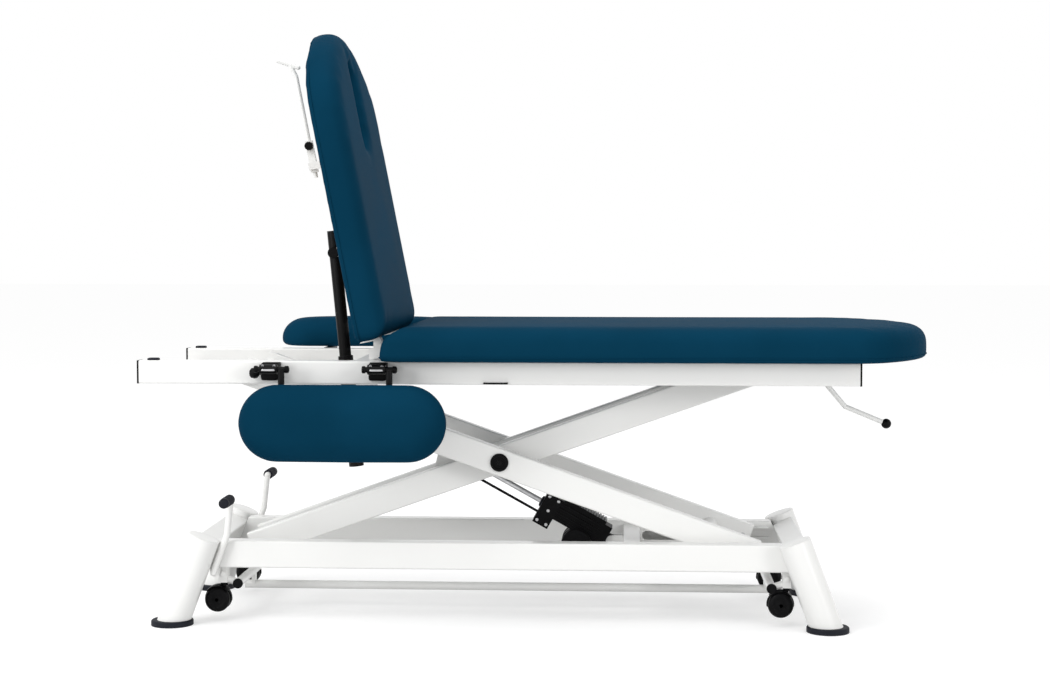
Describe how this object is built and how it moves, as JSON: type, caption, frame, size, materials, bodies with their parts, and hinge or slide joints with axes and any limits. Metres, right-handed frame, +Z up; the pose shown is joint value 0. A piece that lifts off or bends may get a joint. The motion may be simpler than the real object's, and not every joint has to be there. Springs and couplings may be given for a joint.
{
  "type": "treatment table",
  "caption": "Height-adjustable treatment table with a scissor lift, tilting backrest, folding armrests and retractable casters.",
  "frame": {"origin": "on the floor below the middle pivot of the scissor, at rest", "axes": "+X towards the foot end, +Y towards the far side, +Z up"},
  "size_m": [1.725, 0.851, 1.3041],
  "materials": {
    "white_steel": "gloss powder coat",
    "bare_steel": "brushed",
    "black_steel": "satin black",
    "rubber": "matt",
    "upholstery": "satin leatherette",
    "board": "plywood",
    "black_plastic": "satin"
  },
  "bodies": {
    "root": {"base_rail_near": "white_steel", "base_rail_far": "white_steel", "legs": "white_steel", "foot_rings": "rubber", "end_beams": "white_steel", "base_cross_beam": "white_steel", "base_tracks": "white_steel", "base_pivot_axle": "bare_steel", "pedal_bearings": "white_steel"},
    "inner": {"inner_arms": "white_steel", "inner_arm_braces": "white_steel", "lift_lugs": "white_steel"},
    "outer": {"outer_arms": "white_steel", "outer_arm_braces": "white_steel", "outer_arm_pins": "bare_steel", "centre_caps": "black_plastic"},
    "upper_frame": {"frame_rail_near": "white_steel", "frame_rail_far": "white_steel", "frame_rail_caps": "black_plastic", "frame_crossers": "white_steel", "frame_tracks": "white_steel", "frame_brackets": "white_steel", "armrest_clamps": "black_steel", "rail_pull": "black_steel", "seat_pad": "upholstery", "seat_board": "board"},
    "base_rollers": {"base_rollers": "black_plastic"},
    "frame_rollers": {"frame_rollers": "black_plastic"},
    "backrest": {"back_pad": "upholstery", "back_board": "board", "back_frame": "white_steel"},
    "holder": {"holder_rod": "white_steel"},
    "holder_knob": {"holder_knob": "black_plastic"},
    "strut_tube": {"strut_tube": "black_steel"},
    "strut_rod": {"strut_rod": "black_steel"},
    "armrest_near": {"armrest_pad_near": "upholstery", "armrest_posts_near": "black_steel"},
    "armrest_far": {"armrest_pad_far": "upholstery", "armrest_posts_far": "black_steel"},
    "knob_near": {"armrest_knob_near": "black_plastic"},
    "knob_far": {"armrest_knob_far": "black_plastic"},
    "housing": {"actuator_housing": "black_plastic", "actuator_motor": "black_plastic"},
    "rod": {"actuator_rod": "bare_steel"},
    "carriage": {"carriage_bars": "white_steel", "carriage_caps": "black_plastic", "caster_brackets": "white_steel"},
    "fork_head_near": {"caster_fork_head_near": "black_plastic"},
    "fork_head_far": {"caster_fork_head_far": "black_plastic"},
    "fork_foot_near": {"caster_fork_foot_near": "black_plastic"},
    "fork_foot_far": {"caster_fork_foot_far": "black_plastic"},
    "wheels_head_near": {"caster_wheels_head_near": "black_plastic"},
    "wheels_head_far": {"caster_wheels_head_far": "black_plastic"},
    "wheels_foot_near": {"caster_wheels_foot_near": "black_plastic"},
    "wheels_foot_far": {"caster_wheels_foot_far": "black_plastic"},
    "pedals": {"pedal_bar": "white_steel", "pedal_grips": "rubber"},
    "foot_lever": {"foot_lever": "white_steel", "lever_cap": "rubber"}
  },
  "joints": [
    {"name": "lift", "type": "hinge", "parent": "root", "child": "inner", "pos_m": [-0.54899, 0, 0.157], "axis": [0, -1, 0], "range_deg": [-8.4, 14.1]},
    {"name": "scissor_middle", "type": "hinge", "parent": "inner", "child": "outer", "pos_m": [0, 0, 0.35141], "axis": [0, -1, 0], "range_deg": [-28.2, 16.8]},
    {"name": "frame_level", "type": "hinge", "parent": "outer", "child": "upper_frame", "pos_m": [-0.54899, 0, 0.54582], "axis": [0, -1, 0], "range_deg": [-8.4, 14.1]},
    {"name": "base_roller_turn", "type": "hinge", "parent": "outer", "child": "base_rollers", "pos_m": [0.54899, 0, 0.157], "axis": [0, 1, 0], "continuous": true},
    {"name": "frame_roller_turn", "type": "hinge", "parent": "inner", "child": "frame_rollers", "pos_m": [0.54899, 0, 0.54582], "axis": [0, 1, 0], "continuous": true},
    {"name": "drive_tilt", "type": "hinge", "parent": "root", "child": "housing", "pos_m": [0.245, 0, 0.16], "axis": [0, -1, 0], "range_deg": [-7.4, 4.41]},
    {"name": "drive_stroke", "type": "slide", "parent": "housing", "child": "rod", "axis": [-0.8737, 0, 0.4864], "range_m": [-0.05854, 0.09826]},
    {"name": "back_tilt", "type": "hinge", "parent": "upper_frame", "child": "backrest", "pos_m": [-0.265, 0, 0.62182], "axis": [0, -1, 0], "range_deg": [0, 79]},
    {"name": "strut_tube_tilt", "type": "hinge", "parent": "upper_frame", "child": "strut_tube", "pos_m": [-0.3448, 0, 0.41302], "axis": [0, -1, 0], "range_deg": [0, 39.5]},
    {"name": "strut_rod_tilt", "type": "hinge", "parent": "backrest", "child": "strut_rod", "pos_m": [-0.38287, 0, 0.81175], "axis": [0, -1, 0], "range_deg": [-39.5, 0]},
    {"name": "holder_height", "type": "slide", "parent": "backrest", "child": "holder", "axis": [-0.1908, 0, 0.9816], "range_m": [-0.08, 0]},
    {"name": "holder_knob_turn", "type": "hinge", "parent": "backrest", "child": "holder_knob", "pos_m": [-0.43898, -0.0083, 1.05253], "axis": [0, 1, 0], "continuous": true},
    {"name": "armrest_near_swing", "type": "hinge", "parent": "upper_frame", "child": "armrest_near", "pos_m": [-0.3385, -0.286, 0.56582], "axis": [-1, 0, 0], "range_deg": [0, 90]},
    {"name": "armrest_far_swing", "type": "hinge", "parent": "upper_frame", "child": "armrest_far", "pos_m": [-0.3385, 0.286, 0.56582], "axis": [-1, 0, 0], "range_deg": [0, 90]},
    {"name": "armrest_knob_near_turn", "type": "hinge", "parent": "upper_frame", "child": "knob_near", "pos_m": [-0.5165, -0.266, 0.55632], "axis": [1, 0, 0], "continuous": true},
    {"name": "armrest_knob_far_turn", "type": "hinge", "parent": "upper_frame", "child": "knob_far", "pos_m": [-0.5165, 0.266, 0.55632], "axis": [1, 0, 0], "continuous": true},
    {"name": "pedal_press", "type": "hinge", "parent": "root", "child": "pedals", "pos_m": [-0.623, 0, 0.113], "axis": [0, 1, 0], "range_deg": [0, 25]},
    {"name": "carriage_drop", "type": "slide", "parent": "root", "child": "carriage", "axis": [0, 0, -1], "range_m": [0, 0.021]},
    {"name": "caster_head_near_swivel", "type": "hinge", "parent": "carriage", "child": "fork_head_near", "pos_m": [-0.608, -0.165, 0.086], "axis": [0, 0, 1], "continuous": true},
    {"name": "caster_head_near_roll", "type": "hinge", "parent": "fork_head_near", "child": "wheels_head_near", "pos_m": [-0.621, -0.165, 0.049], "axis": [0, 1, 0], "continuous": true},
    {"name": "caster_head_far_swivel", "type": "hinge", "parent": "carriage", "child": "fork_head_far", "pos_m": [-0.608, 0.165, 0.086], "axis": [0, 0, 1], "continuous": true},
    {"name": "caster_head_far_roll", "type": "hinge", "parent": "fork_head_far", "child": "wheels_head_far", "pos_m": [-0.621, 0.165, 0.049], "axis": [0, 1, 0], "continuous": true},
    {"name": "caster_foot_near_swivel", "type": "hinge", "parent": "carriage", "child": "fork_foot_near", "pos_m": [0.628, -0.165, 0.086], "axis": [0, 0, 1], "continuous": true},
    {"name": "caster_foot_near_roll", "type": "hinge", "parent": "fork_foot_near", "child": "wheels_foot_near", "pos_m": [0.615, -0.165, 0.049], "axis": [0, 1, 0], "continuous": true},
    {"name": "caster_foot_far_swivel", "type": "hinge", "parent": "carriage", "child": "fork_foot_far", "pos_m": [0.628, 0.165, 0.086], "axis": [0, 0, 1], "continuous": true},
    {"name": "caster_foot_far_roll", "type": "hinge", "parent": "fork_foot_far", "child": "wheels_foot_far", "pos_m": [0.615, 0.165, 0.049], "axis": [0, 1, 0], "continuous": true},
    {"name": "foot_lever_lift", "type": "hinge", "parent": "upper_frame", "child": "foot_lever", "pos_m": [0.7, 0, 0.55482], "axis": [0, -1, 0], "range_deg": [0, 10]}
  ],
  "couplings": [
    {"joint": "scissor_middle", "follows": "lift", "ratio": -2},
    {"joint": "frame_level", "follows": "lift", "ratio": 1},
    {"joint": "drive_tilt", "follows": "lift", "ratio": -0.525},
    {"joint": "drive_stroke", "follows": "lift", "m_per_rad": 0.39929},
    {"joint": "strut_tube_tilt", "follows": "back_tilt", "ratio": 0.5},
    {"joint": "strut_rod_tilt", "follows": "back_tilt", "ratio": -0.5},
    {"joint": "carriage_drop", "follows": "pedal_press", "m_per_rad": 0.048128}
  ]
}
